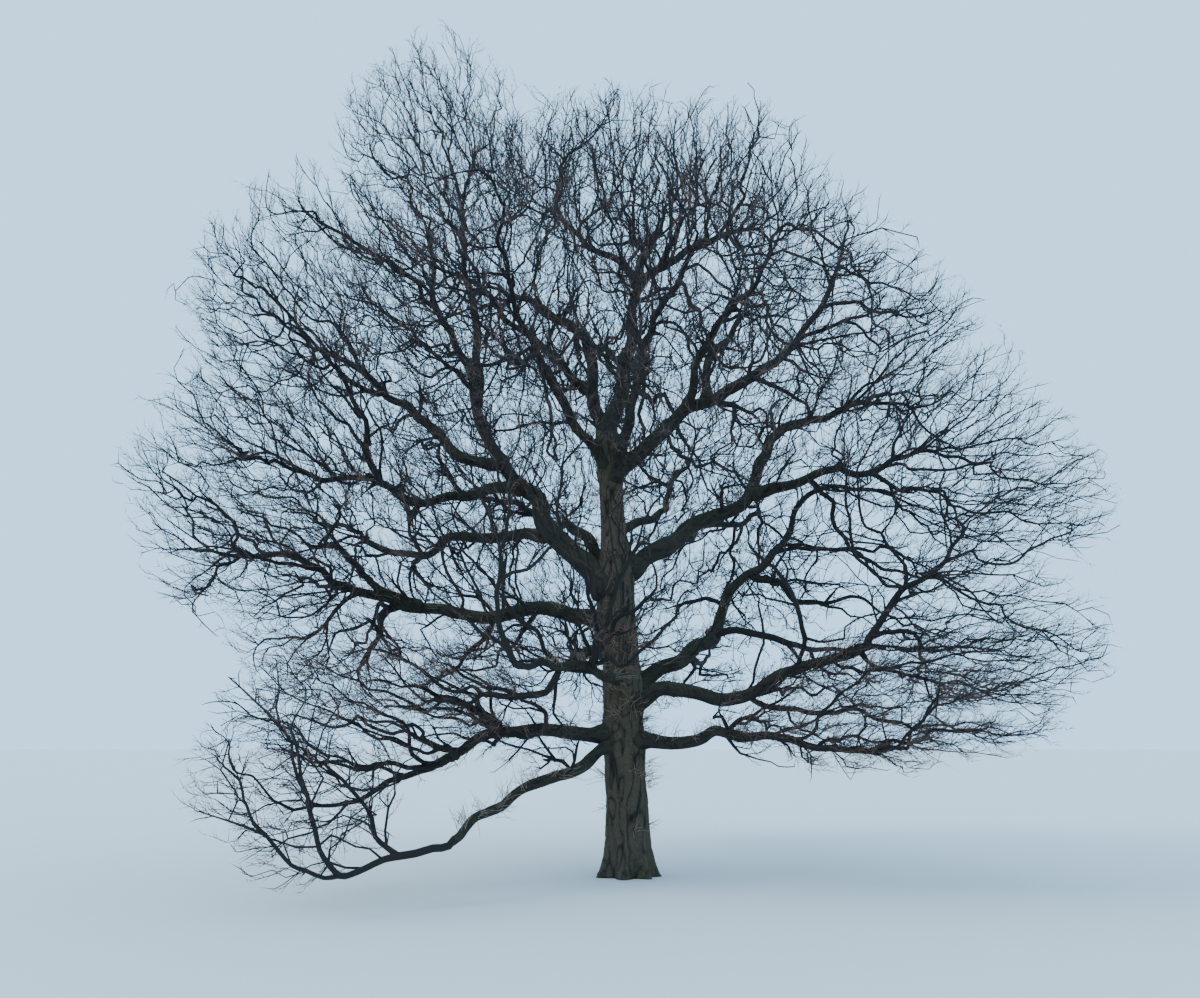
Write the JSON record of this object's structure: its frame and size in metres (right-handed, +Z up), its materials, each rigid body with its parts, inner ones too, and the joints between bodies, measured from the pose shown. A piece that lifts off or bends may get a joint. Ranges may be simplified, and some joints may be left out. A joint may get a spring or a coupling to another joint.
{
  "type": "bare oak tree",
  "caption": "Mature open-grown oak in winter: a flared trunk, spreading boughs at every height and masses of bare twigs that make a broad rounded crown with a taller left side.",
  "frame": {"origin": "The middle of the flat cut under the trunk, at ground level.", "axes": "+X is to the right and +Y is away from someone who looks at the tree as the picture shows it. +Z is up."},
  "size_m": [23.0601, 20.1173, 22.0467],
  "materials": {
    "bark": "rough fissured dark bark",
    "twig_bark": "dull grey-brown twig bark"
  },
  "bodies": {
    "root": {"trunk": "bark", "bough_back_left": "bark", "bough_back_low": "bark", "bough_back_right": "bark", "bough_front_high": "bark", "bough_front_low": "bark", "bough_inner_left": "bark", "bough_leader": "bark", "bough_leader_left": "bark", "bough_left_great": "bark", "bough_left_high": "bark", "bough_left_level": "bark", "bough_left_low": "bark", "bough_left_low_rise": "bark", "bough_left_mid": "bark", "bough_left_peak": "bark", "bough_low_left": "bark", "bough_low_left_front": "bark", "bough_right_arch": "bark", "bough_right_drop": "bark", "bough_right_high": "bark", "bough_right_high_back": "bark", "bough_right_high_front": "bark", "bough_right_inner": "bark", "bough_right_level": "bark", "bough_right_low": "bark", "bough_right_mid": "bark", "bough_top_left": "bark", "bough_top_mid": "bark", "bough_upper_left": "bark", "twigs_back_left": "twig_bark", "twigs_back_low": "twig_bark", "twigs_back_right": "twig_bark", "twigs_front_high": "twig_bark", "twigs_front_low": "twig_bark", "twigs_inner_left": "twig_bark", "twigs_leader": "twig_bark", "twigs_leader_left": "twig_bark", "twigs_left_great": "twig_bark", "twigs_left_high": "twig_bark", "twigs_left_level": "twig_bark", "twigs_left_low": "twig_bark", "twigs_left_low_rise": "twig_bark", "twigs_left_mid": "twig_bark", "twigs_left_peak": "twig_bark", "twigs_low_left": "twig_bark", "twigs_low_left_front": "twig_bark", "twigs_right_arch": "twig_bark", "twigs_right_drop": "twig_bark", "twigs_right_high": "twig_bark", "twigs_right_high_back": "twig_bark", "twigs_right_high_front": "twig_bark", "twigs_right_inner": "twig_bark", "twigs_right_level": "twig_bark", "twigs_right_low": "twig_bark", "twigs_right_mid": "twig_bark", "twigs_top_left": "twig_bark", "twigs_top_mid": "twig_bark", "twigs_upper_left": "twig_bark"}
  },
  "joints": []
}
